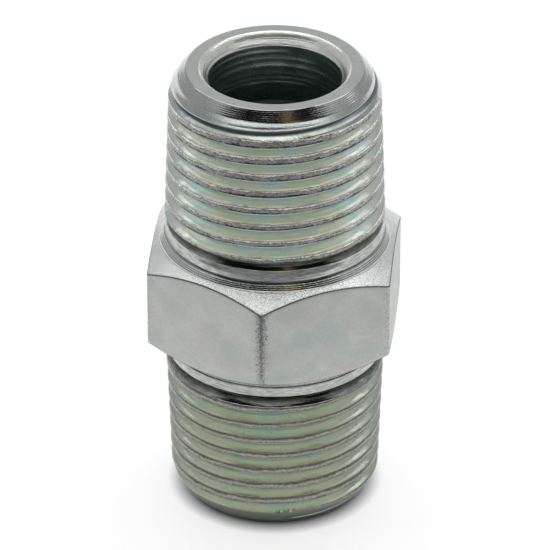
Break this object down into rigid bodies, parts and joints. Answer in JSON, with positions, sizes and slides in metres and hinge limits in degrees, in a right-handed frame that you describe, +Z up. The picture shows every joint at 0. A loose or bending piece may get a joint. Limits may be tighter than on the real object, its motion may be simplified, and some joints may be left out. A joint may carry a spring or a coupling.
{
  "type": "hex nipple",
  "caption": "Steel pipe nipple with a tapered right-hand male pipe thread at each end, a wrench hexagon between them and a straight bore through it.",
  "frame": {"origin": "centre of the lower end face, which the nipple stands on", "axes": "+Z up along the bore axis; one corner of the hexagon points along -Y, so two of its flats face +X and -X"},
  "size_m": [0.024, 0.0276, 0.0473],
  "materials": {
    "zinc_plated_steel": "bright zinc plate with a clear blue-green passivated tint, over turned and drawn steel"
  },
  "bodies": {
    "root": {"hex_nipple": "zinc_plated_steel"}
  },
  "joints": []
}
